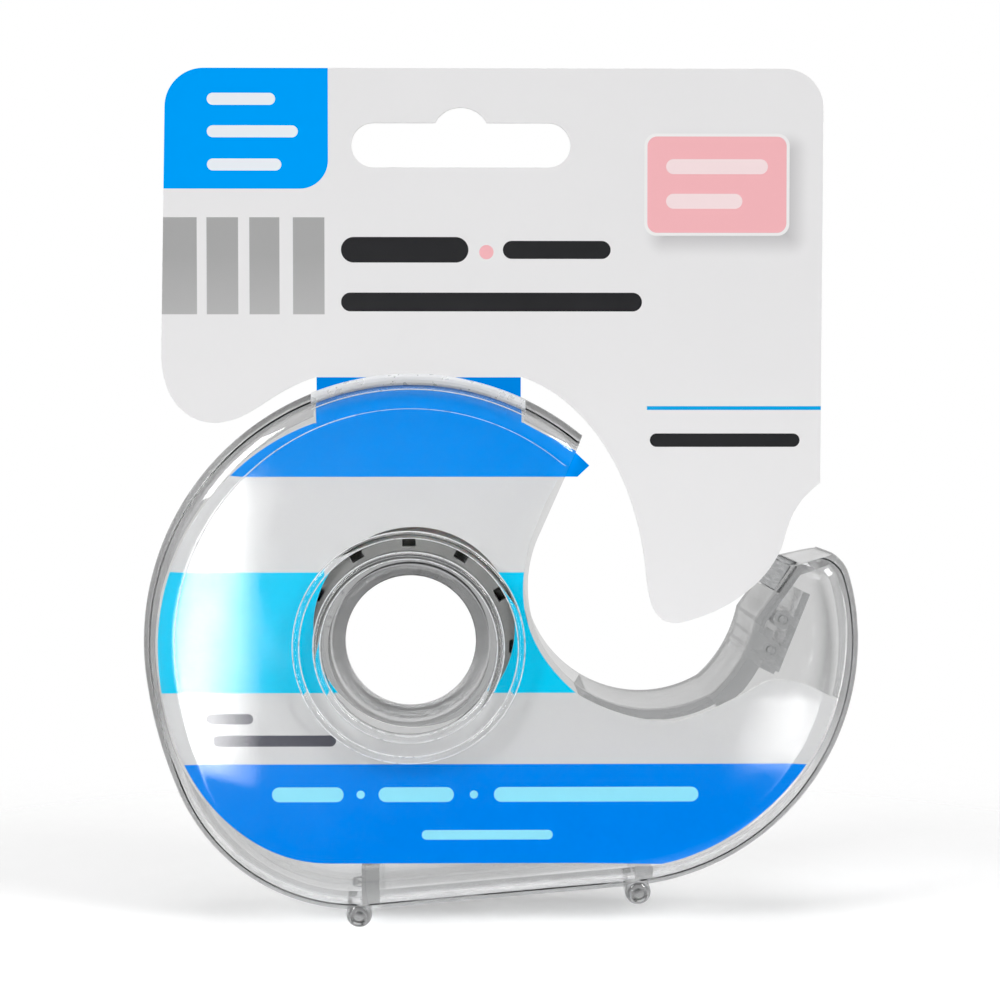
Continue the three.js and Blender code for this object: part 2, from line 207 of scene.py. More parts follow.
CARD_LEFT = -32.4
CARD_RIGHT = 55.4
CARD_TOP = 77.2
CARD_CORNER = 5.2
EAR_LEFT = CARD_LEFT - 0.6
NECK_LEFT = -12.3
NECK_RIGHT = 15
NECK_BOTTOM = 30
NECK_TOP = 40
NECK_SHOULDER_Z = 36.2
LABEL_LEFT = -33.4
LABEL_BOTTOM = -29.2
HANG_SLOT = (7.0, 67.0, 14.6, 2.95)  # middle x and z, half length, half height
SLOT_HUMP = (7.0, 68.1, 3.9)         # middle x and z, radius
LABEL_HOLE = (0.7, 2.6, 13.5)        # middle x and z, radius


def header_outline():
    """The hang card above the case, with its two ears and the foot of its neck."""
    corner_z = CARD_TOP - CARD_CORNER
    points = arc(CARD_LEFT + CARD_CORNER, corner_z, CARD_CORNER, 90, 180, 16)
    points.append((EAR_LEFT, 39))
    points += bezier([points[-1], (EAR_LEFT, 33), (-29.5, 29.8), (-25.5, 30)])
    points += bezier([points[-1], (-20.5, 30.6), (-19, 34), (NECK_LEFT, NECK_SHOULDER_Z)])
    points += [(NECK_LEFT, NECK_BOTTOM), (NECK_RIGHT, NECK_BOTTOM), (NECK_RIGHT, NECK_SHOULDER_Z)]
    points += bezier([points[-1], (22, 34), (29.5, 26), (31.6, 12)])
    points += bezier([points[-1], (32.2, 6), (32.5, 3.2), (36, 3.1)])
    points += bezier([points[-1], (42.5, 4.3), (48.6, 8.6), (50.3, 14)])
    points += bezier([points[-1], (51.2, 17.6), (52, 19.4), (55.2, 22)])
    return points + arc(CARD_RIGHT - CARD_CORNER, corner_z, CARD_CORNER, 0, 90, 16)


def label_outline():
    """The label inside the case, up to the top of the neck."""
    points = [(NECK_LEFT, NECK_TOP), (NECK_LEFT, NECK_BOTTOM)]
    points += bezier([points[-1], (-24, 26), (LABEL_LEFT, 14), (LABEL_LEFT, 0)], 40)
    points += bezier([points[-1], (LABEL_LEFT, -16), (-24, LABEL_BOTTOM), (-10.7, LABEL_BOTTOM)], 40)
    points.append((33.9, LABEL_BOTTOM))
    points += bezier([points[-1], (45, -27), (55, -17), (57.2, -7.2)], 32)
    points += bezier([points[-1], (52, -3.6), (47.6, -4.8)], 12)
    points += bezier([points[-1], (41, -8.9), (35.5, -10.2)], 12)
    points += bezier([points[-1], (28.5, -10), (22.6, -6.4)], 12)
    points += bezier([points[-1], (13.2, 1.5), (13.4, 11), (20.2, 22.8)], 30)
    points += [(22.6, 22.8), (24.2, 24.3), (22.4, 26)]
    return points + [(NECK_RIGHT, NECK_BOTTOM), (NECK_RIGHT, NECK_TOP)]


# ---- Solids ----


def new_object(name, bm):
    """A scene object made from a bmesh, which is freed."""
    bmesh.ops.recalc_face_normals(bm, faces=bm.faces)
    mesh = bpy.data.meshes.new(name)
    bm.to_mesh(mesh)
    bm.free()
    obj = bpy.data.objects.new(name, mesh)
    bpy.context.scene.collection.objects.link(obj)
    return obj


def loft(rings, cap=True):
    """A solid through rings of points; without caps the last ring joins the first."""
    bm = bmesh.new()
    rows = [[bm.verts.new(p) for p in ring] for ring in rings]
    count = len(rows[0])
    pairs = list(zip(rows, rows[1:])) if cap else list(zip(rows, rows[1:] + rows[:1]))
    for low, high in pairs:
        for i in range(count):
            j = (i + 1) % count
            bm.faces.new((low[i], low[j], high[j], high[i]))
    if cap:
        bm.faces.new(rows[0])
        bm.faces.new(rows[-1])
    return new_object("solid", bm)


def slab(points, near, far, edge_radius=0.0, steps=10):
    """An outline made into a slab between two levels of Y, with rounded edges if asked."""
    if not edge_radius:
        return loft([[(x, y, z) for x, z in points] for y in (near, far)])
    rings = []
    for i in range(steps + 1):
        angle = math.pi / 2 * i / steps
        inset = edge_radius * (1 - math.sin(angle))
        level = near + edge_radius * (1 - math.cos(angle))
        rings.append([(x, level, z) for x, z in sideways(points, -inset, True)])
    for i in range(steps, -1, -1):
        angle = math.pi / 2 * i / steps
        inset = edge_radius * (1 - math.sin(angle))
        level = far - edge_radius * (1 - math.cos(angle))
        rings.append([(x, level, z) for x, z in sideways(points, -inset, True)])
    return loft(rings)


def turned(profile, centre=(0.0, 0.0), sides=160, closed=False):
    """A profile of (radius, y) points turned about an axis along Y."""
    rings = []
    for radius, y in profile:
        ring = []
        for i in range(sides):
            a = 2 * math.pi * i / sides
            ring.append((centre[0] + radius * math.cos(a), y, centre[1] + radius * math.sin(a)))
        rings.append(ring)
    return loft(rings, cap=not closed)


def cylinder(centre, radius, near, far, sides=160):
    """A cylinder along Y."""
    return turned([(radius, near), (radius, far)], centre, sides)


def bead(radius, section, level, sides=16):
    """A ring of round section about the hub's axis."""
    angles = [2 * math.pi * i / sides for i in range(sides)]
    ring = [(radius + section * math.cos(a), level + section * math.sin(a)) for a in angles]
    return turned(ring, closed=True)


def ridge(points, inset, section, level, sides=12):
    """A thin bead on a face, all the way round inside an outline."""
    rings = []
    for i in range(sides):
        a = 2 * math.pi * i / sides
        line = sideways(points, -(inset + section * math.cos(a)), True)
        rings.append([(x, level + section * math.sin(a), z) for x, z in line])
    return loft(rings, cap=False)


def bar(a, b, width, near, far):
    """A straight bar between two points of the X-Z plane."""
    return slab(sideways([a, b], width / 2) + sideways([a, b], -width / 2)[::-1], near, far)


def boolean(obj, tools, operation):
    """Joins the tools to obj, or cuts them from it, and removes them."""
    for tool in tools:
        modifier = obj.modifiers.new("boolean", "BOOLEAN")
        modifier.operation = operation
        modifier.solver = "MANIFOLD"
        modifier.object = tool
        bake(obj)
        bpy.data.objects.remove(tool)
    return obj


def bake(obj):
    """Applies an object's modifiers to its mesh."""
    graph = bpy.context.evaluated_depsgraph_get()
    mesh = bpy.data.meshes.new_from_object(obj.evaluated_get(graph))
    obj.modifiers.clear()
    obj.data = mesh


def join(first, *others):
    return boolean(first, others, "UNION")


def cut(obj, *tools):
    return boolean(obj, tools, "DIFFERENCE")


def keep(obj, tool):
    return boolean(obj, [tool], "INTERSECT")


def slice_between(near, far):
    return slab([(-FAR, -FAR), (FAR, -FAR), (FAR, FAR), (-FAR, FAR)], near, far)


def smooth(obj, angle=32):
    """Smooth shading with crisp edges, and flat faces that stay flat."""
    mesh = obj.data
    for polygon in mesh.polygons:
        polygon.use_smooth = True
    mesh.set_sharp_from_angle(angle=math.radians(angle))
    modifier = obj.modifiers.new("normals", "WEIGHTED_NORMAL")
    modifier.keep_sharp = True
    bake(obj)


def place(obj, name, body, node, materials):
    """Names a finished piece, moves it to the row's frame and puts it on its body."""
    obj.data.transform(TO_ROW)
    obj.name = name
    obj.data.name = name
    faces = [polygon.material_index for polygon in obj.data.polygons]
    obj.data.materials.clear()
    for material in materials:
        obj.data.materials.append(material)
    obj.data.polygons.foreach_set("material_index", faces)
    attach(obj, body)
    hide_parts(node)


# ---- Case ----

HUB_TUBE_RADIUS = 12.3
HUB_TUBE_WALL = 1.4
HUB_BORE_RADIUS = HUB_TUBE_RADIUS - HUB_TUBE_WALL
HUB_HOLE_RADIUS = HUB_TUBE_RADIUS - 0.5  # the hole in the rear wall that the tube's wall covers
HUB_WEB = ((HUB_BORE_RADIUS, 2.9), (9, 0), (9, -1.2), (HUB_BORE_RADIUS, -4.1))
HUB_MOUTH_RADIUS = 11.7
MOUTH_BEADS = (12.3, 15.1)
MOUTH_BEAD_SECTION = 0.45

PIN_SOCKETS = ((50.2, 3.6), (48.6, -0.5))
PIN_RADIUS = 0.55
PIN_REACH = 4
SOCKET_BORE_RADIUS = 0.7
SOCKET_RADIUS = 1.3

RIB_END = REAR_INSIDE + GAP
NOSE_WEB_WIDTH = 1
WEB_TOP = (53.4, 7.2)
WEB_FOOT = (49.2, -3.3)
WEB_BRACE = (45.4, -1.4)
PAD_START_X = 40
PAD_TOP_Z = 3
PAD_DEPTH = 1.3
CARD_RESTS = (-5.2, 31.6)
CARD_REST_WIDTH = 2.4
CARD_REST_FOOT = -36
FEET = ((-6.8, -36.4), (30.9, -33.4))
FOOT_RADIUS = 1.75
FOOT_ROUNDING = 1.2

# White rings on the flanks of the mouth's beads: painted highlights
HIGHLIGHT_RINGS = (11.9, 12.75, 14.7, 15.5)
HIGHLIGHT_RING_SECTION = 0.12
HIGHLIGHT_RING_LIFT = 0.02
OVER_CARD = CARD_FRONT - 0.1
# Lines that follow the case's outline: inset, section, level, left, right, lowest z.
# The first two are painted highlight lines on the shoulder, the last two the rim's bead and line over
# the neck, white as painted highlights too.
RIM_LINES = (
    (4.7, 0.07, FRONT, -FAR, -7, -8),
    (4.7, 0.035, FRONT, -7.1, 21, 15),
    (0.8, 0.78, OVER_CARD - 0.2, -13, 15.6, 20),
    (2.1, 0.08, FRONT + 0.75, -13, 15.6, 20),
)


def throat_wall(near, far):
    """The tape rest: a wall all along the throat's lower edge."""
    return slab(rest + sideways(rest, RIM_WALL)[::-1], near, far)


def throat_tool():
    """What the throat cuts out of the case."""
    beyond = [(NOSE_PEAK[0], FAR), (LIP_END[0] + 2, LIP_END[1] + 4)]
    return slab(edge + beyond, -FAR, FAR)


def case_hollow():
    """Both mouldings in one: the empty case with its throat wall."""
    outside = slab(outline, FRONT, BACK, SHOULDER)
    inner = sideways(outline, -RIM_WALL, True)
    inside = slab(inner, COVER_INSIDE, REAR_INSIDE, SHOULDER - RIM_WALL)
    inside = cut(inside, throat_wall(FRONT, BACK))
    return cut(outside, inside, throat_tool())


def copy(obj):
    twin = bpy.data.objects.new("solid", obj.data.copy())
    bpy.context.scene.collection.objects.link(twin)
    return twin


def make_cover(hollow):
    """The front plate, with the hub's mouth and its beads, and the pins inside the nose."""
    cover = keep(copy(hollow), slice_between(-FAR, SEAM - GAP))
    cut(cover, cylinder((0, 0), HUB_MOUTH_RADIUS, -FAR, FAR))
    beads = [bead(radius, MOUTH_BEAD_SECTION, FRONT) for radius in MOUTH_BEADS]
    pins = []
    for at in PIN_SOCKETS:
        pins.append(cylinder(at, PIN_RADIUS, COVER_INSIDE - GAP, SEAM + PIN_REACH, 24))
    return join(cover, *beads, *pins)


def make_bright_edges():
    """The cover's fine raised lines in white, as painted highlights, and the bead of its rim over the
    card's neck, white too as a painted highlight.
    """
    lines = [bead(radius, HIGHLIGHT_RING_SECTION, FRONT - HIGHLIGHT_RING_LIFT) for radius in HIGHLIGHT_RINGS]
    for inset, section, level, left, right, low in RIM_LINES:
        part = [(left, low), (right, low), (right, FAR), (left, FAR)]
        lines.append(keep(ridge(outline, inset, section, level), slab(part, -FAR, OVER_CARD)))
    return join(*lines)


def make_foot(at, steps=8):
    """A peg under the case, along Y, whose ends are rounded."""
    near, far = SEAM, BACK - SHOULDER / 2
    profile = []
    for i in range(steps + 1):
        a = math.pi / 2 * i / steps
        radius = FOOT_RADIUS - FOOT_ROUNDING * (1 - math.sin(a))
        profile.append((radius, near + FOOT_ROUNDING * (1 - math.cos(a))))
    profile += [(radius, near + far - y) for radius, y in reversed(profile)]
    return turned(profile, at, 64)


def make_pad():
    """A thicker stretch under the tape rest, next to the cutter."""
    stretch = [p for p in rest if p[0] > PAD_START_X and p[1] < PAD_TOP_Z]
    upper = sideways(stretch, RIM_WALL / 2)
    lower = sideways(stretch, RIM_WALL + PAD_DEPTH)
    return slab(upper + lower[::-1], SEAM, RIB_END)


def make_card_rest(x):
    """A rib inside the case that the card stands on."""
    rib = bar((x, CARD_REST_FOOT), (x, LABEL_BOTTOM - GAP), CARD_REST_WIDTH, SEAM, RIB_END)
    return keep(rib, slab(outline, FRONT, BACK, SHOULDER))


def make_shell(hollow):
    """The rear moulding: rim, rear wall, throat wall, hub tube, feet and the ribs inside."""
    shell = keep(copy(hollow), slice_between(SEAM, FAR))
    cut(shell, cylinder((0, 0), HUB_HOLE_RADIUS, -FAR, FAR))
    hub = turned([
        (HUB_TUBE_RADIUS, SEAM), (HUB_TUBE_RADIUS, BACK), (HUB_BORE_RADIUS, BACK),
        *HUB_WEB, (HUB_BORE_RADIUS, SEAM),
    ], closed=True)
    pad = make_pad()
    web = bar(WEB_FOOT, WEB_TOP, NOSE_WEB_WIDTH, SEAM, RIB_END)
    brace = bar(WEB_FOOT, WEB_BRACE, NOSE_WEB_WIDTH, SEAM, RIB_END)
    sockets = [cylinder(at, SOCKET_RADIUS, SEAM, RIB_END, 40) for at in PIN_SOCKETS]
    feet = [make_foot(at) for at in FEET]
    rests = [make_card_rest(x) for x in CARD_RESTS]
    join(shell, hub, pad, web, brace, *sockets, *feet, *rests)
    bore_end = SEAM + PIN_REACH + GAP
    holes = [cylinder(at, SOCKET_BORE_RADIUS, -FAR, bore_end, 24) for at in PIN_SOCKETS]
    seat = slab(sideways(label_outline(), GAP, True), SEAM - GAP, CARD_BACK + GAP)
    return cut(shell, *holes, seat, on_rest(blade_seat()))


# ---- Cutter ----

REST_ANGLE = math.atan2(NOSE_TIP[1] - REST_FOOT[1], NOSE_TIP[0] - REST_FOOT[0])
BLADE_THICKNESS = 0.4
BLADE_HEIGHT = 4.4
BLADE_OVERHANG = 0.7
TOOTH_PITCH = 1.5
TOOTH_HEIGHT = 0.6
TOOTH_POINT = 0.25  # share of the blade's thickness that is left at a tooth's point


def on_rest(obj):
    """Puts a piece on the nose; it's drawn with +X up the nose and +Z out of the rest."""
    to_tip = Matrix.Translation((NOSE_TIP[0], 0, NOSE_TIP[1]))
    obj.data.transform(to_tip @ Matrix.Rotation(-REST_ANGLE, 4, "Y"))
    return obj


def blade_seat():
    """The recess that the blade lies in."""
    near, far = ROLL_FRONT - GAP, ROLL_BACK + GAP
    depth = BLADE_THICKNESS + GAP
    ring = [(-BLADE_HEIGHT, near), (BLADE_HEIGHT, near), (BLADE_HEIGHT, far), (-BLADE_HEIGHT, far)]
    return loft([[(x, y, z) for x, y in ring] for z in (-depth, 0)])


def make_blade():
    """A steel strip with a row of ground teeth: each tooth thins towards its point."""
    root = BLADE_OVERHANG - TOOTH_HEIGHT
    ring = [(root, 0.0)]
    for i in range(round(TAPE_WIDTH / TOOTH_PITCH)):
        ring += [(BLADE_OVERHANG, (i + 0.5) * TOOTH_PITCH), (root, (i + 1) * TOOTH_PITCH)]
    ring += [(GAP - BLADE_HEIGHT, TAPE_WIDTH), (GAP - BLADE_HEIGHT, 0.0)]
    blade = loft([[(x, ROLL_FRONT + y, z) for x, y in ring] for z in (-BLADE_THICKNESS, 0)])
    for vertex in blade.data.vertices:
        if vertex.co.x > (root + BLADE_OVERHANG) / 2:
            vertex.co.z = -BLADE_THICKNESS + (vertex.co.z + BLADE_THICKNESS) * TOOTH_POINT
    return on_rest(blade)


# ---- Tape ----

CORE_EDGE = 0.25
NOTCH_HALF_WIDTH = 0.9
NOTCH_HALF_HEIGHT = 0.55
NOTCH_DEPTH = 2
FILM_TURNS = 14
FILM_GROOVE = 0.06


def make_core():
    """The core, with its edges broken and a ring of notches in its front end."""
    inner, outer = CORE_BORE_RADIUS, CORE_RADIUS
    core = turned([
        (inner + CORE_EDGE, ROLL_FRONT), (outer - CORE_EDGE, ROLL_FRONT),
        (outer, ROLL_FRONT + CORE_EDGE), (outer, ROLL_BACK - CORE_EDGE),
        (outer - CORE_EDGE, ROLL_BACK), (inner + CORE_EDGE, ROLL_BACK),
        (inner, ROLL_BACK - CORE_EDGE), (inner, ROLL_FRONT + CORE_EDGE),
    ], closed=True)
    low, high = NOTCH_RADIUS - NOTCH_HALF_HEIGHT, NOTCH_RADIUS + NOTCH_HALF_HEIGHT
    half = NOTCH_HALF_WIDTH
    corners = [(-half, low), (half, low), (half, high), (-half, high)]
    for i in range(NOTCH_COUNT):
        notch = slab(corners, ROLL_FRONT - NOTCH_DEPTH, ROLL_FRONT + NOTCH_DEPTH)
        notch.data.transform(Matrix.Rotation(2 * math.pi * i / NOTCH_COUNT, 4, "Y"))
        cut(core, notch)
    return core


def make_roll():
    """The wound film: the turns show as fine grooves in both ends."""
    inner = CORE_RADIUS + GAP / 2
    front, back = [], []
    for i in range(FILM_TURNS + 1):
        radius = inner + (ROLL_RADIUS - inner) * i / FILM_TURNS
        groove = FILM_GROOVE if i % 2 else 0.0
        front.append((radius, ROLL_FRONT + groove))
        back.append((radius, ROLL_BACK - groove))
    return turned(front + back[::-1], closed=True)


# ---- Card ----


def hang_slot():
    """What the hang slot cuts out of the card: a bar with round ends and a hump on top."""
    x, z, half_length, half_height = HANG_SLOT
    end = half_length - half_height
    ends = arc(x - end, z, half_height, 90, 270, 24) + arc(x + end, z, half_height, -90, 90, 24)
    hump_x, hump_z, hump_radius = SLOT_HUMP
    return join(slab(ends, -FAR, FAR), cylinder((hump_x, hump_z), hump_radius, -FAR, FAR, 96))


def make_card():
    """The card in one sheet; its front faces take the first material and all others the second."""
    card = slab(header_outline(), CARD_FRONT, CARD_BACK)
    join(card, slab(label_outline(), CARD_FRONT, CARD_BACK))
    x, z, radius = LABEL_HOLE
    cut(card, hang_slot(), cylinder((x, z), radius, -FAR, FAR))
    for polygon in card.data.polygons:
        polygon.material_index = 0 if polygon.normal.y < -0.5 else 1
    return card


# ---- Materials ----


def new_material(name):
    material = bpy.data.materials.new(name)
    material.use_nodes = True
    tree = material.node_tree
    return material, tree, tree.nodes["Principled BSDF"], tree.nodes["Material Output"]


def feed(tree, value, socket):
    """Links a node's output to a socket, or sets the socket to a plain value."""
    if isinstance(value, bpy.types.NodeSocket):
        tree.links.new(value, socket)
    else:
        socket.default_value = value


def object_place(tree):
    """Where a point lies in the row's frame, in metres."""
    return tree.nodes.new("ShaderNodeTexCoord").outputs["Object"]


def axes(tree, vector):
    node = tree.nodes.new("ShaderNodeSeparateXYZ")
    feed(tree, vector, node.inputs["Vector"])
    return node.outputs


def scaled(tree, vector, factors):
    node = tree.nodes.new("ShaderNodeVectorMath")
    node.operation = "MULTIPLY"
    feed(tree, vector, node.inputs[0])
    feed(tree, factors, node.inputs[1])
    return node.outputs["Vector"]


def calc(tree, operation, *values, clamp=False):
    node = tree.nodes.new("ShaderNodeMath")
    node.operation = operation
    node.use_clamp = clamp
    for value, socket in zip(values, node.inputs):
        feed(tree, value, socket)
    return node.outputs["Value"]


def ramp(tree, value, start, end, low=0.0, high=1.0, shape="LINEAR"):
    """Goes from low to high while the value goes from start to end."""
    node = tree.nodes.new("ShaderNodeMapRange")
    node.interpolation_type = shape
    for name, limit in (("From Min", start), ("From Max", end), ("To Min", low), ("To Max", high)):
        node.inputs[name].default_value = limit
    feed(tree, value, node.inputs["Value"])
    return node.outputs["Result"]


def blend(tree, value, dark, light):
    """A colour between two, by a value from 0 to 1."""
    node = tree.nodes.new("ShaderNodeValToRGB")
    for element, colour in zip(node.color_ramp.elements, (dark, light)):
        element.color = (*colour, 1)
    feed(tree, value, node.inputs["Fac"])
    return node.outputs["Color"]


def mix_shaders(tree, factor, first, second, output):
    mix = tree.nodes.new("ShaderNodeMixShader")
    feed(tree, factor, mix.inputs["Fac"])
    feed(tree, first.outputs["BSDF"], mix.inputs[1])
    feed(tree, second.outputs["BSDF"], mix.inputs[2])
    feed(tree, mix.outputs["Shader"], output.inputs["Surface"])


def light_path(tree, kind):
    return tree.nodes.new("ShaderNodeLightPath").outputs[kind]


def noise(tree, scale, detail=3.0, vector=None):
    node = tree.nodes.new("ShaderNodeTexNoise")
    node.inputs["Scale"].default_value = scale
    node.inputs["Detail"].default_value = detail
    feed(tree, vector or object_place(tree), node.inputs["Vector"])
    return node.outputs["Fac"]


def spread(tree, value, low, high, target):
    """Stretches the middle of a noise over a range."""
    feed(tree, ramp(tree, value, 0.3, 0.7, low, high), target)


def bump(tree, height, shader, strength, distance):
    node = tree.nodes.new("ShaderNodeBump")
    node.inputs["Strength"].default_value = strength
    node.inputs["Distance"].default_value = distance
    feed(tree, height, node.inputs["Height"])
    feed(tree, node.outputs["Normal"], shader.inputs["Normal"])


PLASTIC_IOR = 1.5
PLASTIC_TONE = 0.965
# Painted shade: the plastic's base colour is greyer on the throat's wall, where it's seen edge on
THROAT_SHADE_GREY = 0.62
THROAT_SHADE_END = 2.8     # how far outside the throat's edge its painted shade starts to fade
THROAT_SHADE_FADE_END = 3.4     # and where it has gone
THROAT_SHADE_FACING = 0.6       # faces turned less to the front than this have the throat's painted shade
PLAIN_FACING = 0.9        # and those turned more than this have the plain one
HAZY_FACING = 0.6         # the same for the haze on the edges
CLEAR_FACING = 0.97
EDGE_TRANSMISSION = 0.82
LAMP_TINT = (0.92, 0.925, 0.93, 1)
PLASTIC_DEPTH_TINT = (0.49, 0.50, 0.505, 1)
PLASTIC_DENSITY = 55      # per metre


def throat_painted_shade(tree, facing):
    """The plastic's tone: pale, but with painted shade on the throat's wall, greyer where it's seen
    edge on.
    """
    middle_x, middle_z = THROAT_CENTRE
    away = tree.nodes.new("ShaderNodeVectorMath")
    away.operation = "DISTANCE"
    feed(tree, scaled(tree, object_place(tree), (1, 0, 1)), away.inputs[0])
    away.inputs[1].default_value = (HUB.x + middle_x * MM, 0, HUB.z + middle_z * MM)
    start = (THROAT_RADIUS + THROAT_SHADE_END) * MM
    end = (THROAT_RADIUS + THROAT_SHADE_FADE_END) * MM
    off_wall = ramp(tree, away.outputs["Value"], start, end, THROAT_SHADE_GREY, PLASTIC_TONE)
    on_face = ramp(tree, facing, THROAT_SHADE_FACING, PLAIN_FACING, THROAT_SHADE_GREY, PLASTIC_TONE)
    return calc(tree, "MAXIMUM", off_wall, on_face)


def clear_plastic():
    """Clear polystyrene: hazy on its edges, and the lamps shine through it onto what is inside."""
    material, tree, shader, output = new_material("clear_plastic")
    shader.inputs["IOR"].default_value = PLASTIC_IOR
    geometry = tree.nodes.new("ShaderNodeNewGeometry")
    facing = calc(tree, "ABSOLUTE", axes(tree, geometry.outputs["Normal"])["Y"])
    clear = ramp(tree, facing, HAZY_FACING, CLEAR_FACING, EDGE_TRANSMISSION, 1.0)
    feed(tree, clear, shader.inputs["Transmission Weight"])
    # The base colour carries painted shade on the throat's wall
    feed(tree, throat_painted_shade(tree, facing), shader.inputs["Base Color"])
    spread(tree, noise(tree, 180), 0.02, 0.09, shader.inputs["Roughness"])
    bump(tree, noise(tree, 60, 2), shader, 0.12, 0.0004)
    lamps = tree.nodes.new("ShaderNodeBsdfTransparent")
    lamps.inputs["Color"].default_value = LAMP_TINT
    mix_shaders(tree, light_path(tree, "Is Shadow Ray"), shader, lamps, output)
    volume = tree.nodes.new("ShaderNodeVolumeAbsorption")
    volume.inputs["Color"].default_value = PLASTIC_DEPTH_TINT
    volume.inputs["Density"].default_value = PLASTIC_DENSITY
    feed(tree, volume.outputs["Volume"], output.inputs["Volume"])
    return material


def painted_highlight_white():
    """Half-clear plastic in white, for painted highlights on the cover's lines."""
    material, tree, shader, output = new_material("painted_highlight_white")
    shader.inputs["Base Color"].default_value = (0.93, 0.94, 0.95, 1)
    shader.inputs["Transmission Weight"].default_value = 0.35
    shader.inputs["IOR"].default_value = PLASTIC_IOR
    spread(tree, noise(tree, 900), 0.2, 0.5, shader.inputs["Roughness"])
    bump(tree, noise(tree, 1500), shader, 0.3, 0.00005)
    return material


def board_back():
    """Plain board with its fibres."""
    material, tree, shader, output = new_material("board_back")
    mottle = blend(tree, noise(tree, 900, 6), (0.75, 0.745, 0.73), (0.87, 0.865, 0.85))
    feed(tree, mottle, shader.inputs["Base Color"])
    shader.inputs["Roughness"].default_value = 0.8
    bump(tree, noise(tree, 2500, 4), shader, 0.3, 0.00005)
    return material


def core_plastic():
    """Dull grey plastic."""
    material, tree, shader, output = new_material("core_plastic")
    mottle = blend(tree, noise(tree, 240), (0.21, 0.21, 0.205), (0.28, 0.28, 0.27))
    feed(tree, mottle, shader.inputs["Base Color"])
    spread(tree, noise(tree, 500), 0.4, 0.6, shader.inputs["Roughness"])
    bump(tree, noise(tree, 1200), shader, 0.2, 0.00005)
    return material


def wound_tape():
    """Turns of clear film: milky, with fine lines that run round the roll."""
    material, tree, shader, output = new_material("wound_tape")
    lines = noise(tree, 1500, 2, scaled(tree, object_place(tree), (0, 1, 0)))
    milk = blend(tree, lines, (0.24, 0.24, 0.235), (0.40, 0.40, 0.39))
    feed(tree, milk, shader.inputs["Base Color"])
    shader.inputs["Subsurface Weight"].default_value = 0.4
    shader.inputs["Subsurface Scale"].default_value = 0.002
    shader.inputs["Coat Weight"].default_value = 0.6
    shader.inputs["Coat Roughness"].default_value = 0.08
    spread(tree, noise(tree, 300), 0.22, 0.4, shader.inputs["Roughness"])
    bump(tree, lines, shader, 0.15, 0.00005)
    return material


def blade_steel():
    """Steel with a grain along the strip."""
    material, tree, shader, output = new_material("blade_steel")
    shader.inputs["Metallic"].default_value = 1.0
    grain = noise(tree, 6000, 3, scaled(tree, object_place(tree), (1, 0.03, 1)))
    steel = blend(tree, grain, (0.45, 0.46, 0.47), (0.66, 0.67, 0.68))
    feed(tree, steel, shader.inputs["Base Color"])
    spread(tree, grain, 0.22, 0.42, shader.inputs["Roughness"])
    bump(tree, grain, shader, 0.2, 0.00002)
    return material


# ---- Print ----

BLUE = (0.0, 0.375, 1.0)
LABEL_BLUE = (0.0, 0.255, 0.79)
DEEP_BLUE = (0.0, 0.23, 0.82)
LINE_BLUE = (0.02, 0.40, 0.82)
CYAN = (0.0, 0.57, 0.86)
PALE_CYAN = (0.30, 0.78, 0.93)
CARD_WHITE = (0.845, 0.84, 0.845)
LABEL_WHITE = (0.635, 0.635, 0.635)
WHITE_INK = (0.86, 0.90, 0.95)
BAR_GREY = (0.42, 0.42, 0.42)
INK = (0.046, 0.046, 0.048)
LABEL_INK = (0.1, 0.1, 0.12)
PINK = (0.95, 0.50, 0.53)
PALE_PINK = (0.96, 0.78, 0.79)
BADGE_RIM = (0.90, 0.89, 0.89)
BADGE_SHADOW = (0.45, 0.44, 0.45)
MOTTLE = 0.02  # how far the board's white strays either way


class Print:
    """Paints boxes, discs and bars over one another, by place on the card in millimetres."""

    def __init__(self, tree, paper):
        self.tree = tree
        self.colour = paper
        place_on_card = axes(tree, object_place(tree))
        self.x = self.calc("MULTIPLY_ADD", place_on_card["X"], 1 / MM, -HUB.x / MM)
        self.z = self.calc("MULTIPLY_ADD", place_on_card["Z"], 1 / MM, -HUB.z / MM)

    def calc(self, operation, *values):
        return calc(self.tree, operation, *values)

    def distance(self, left, right, low, high, radius=0.0):
        """How far outside a box with round corners a point lies, below 0 inside it."""
        spans = []
        for value, start, end in ((self.x, left, right), (self.z, low, high)):
            away = self.calc("ABSOLUTE", self.calc("SUBTRACT", value, (start + end) / 2))
            spans.append(self.calc("SUBTRACT", away, (end - start) / 2 - radius))
        longest = self.calc("MAXIMUM", *spans)
        if not radius:
            return longest
        squares = [self.calc("POWER", self.calc("MAXIMUM", span, 0.0), 2.0) for span in spans]
        outside = self.calc("SQRT", self.calc("ADD", *squares))
        inside = self.calc("MINIMUM", longest, 0.0)
        return self.calc("SUBTRACT", self.calc("ADD", outside, inside), radius)

    def box(self, *sides):
        """A mask: 1 inside a box, given as left, right, low, high and a corner radius if any."""
        return self.calc("LESS_THAN", self.distance(*sides), 0.0)

    def disc(self, x, z, radius):
        return self.box(x - radius, x + radius, z - radius, z + radius, radius)

    def paint(self, colour, mask, strength=1.0):
        """Puts a colour where the mask is 1."""
        node = self.tree.nodes.new("ShaderNodeMix")
        node.data_type = "RGBA"
        factor = mask if strength == 1.0 else self.calc("MULTIPLY", mask, strength)
        feed(self.tree, factor, node.inputs["Factor"])
        feed(self.tree, self.colour, node.inputs["A"])
        feed(self.tree, (*colour, 1), node.inputs["B"])
        self.colour = node.outputs["Result"]

    def words(self, colour, *bars):
        """Bars with round ends that stand for printed words."""
        for left, right, low, high in bars:
            self.paint(colour, self.box(left, right, low, high, (high - low) / 2))


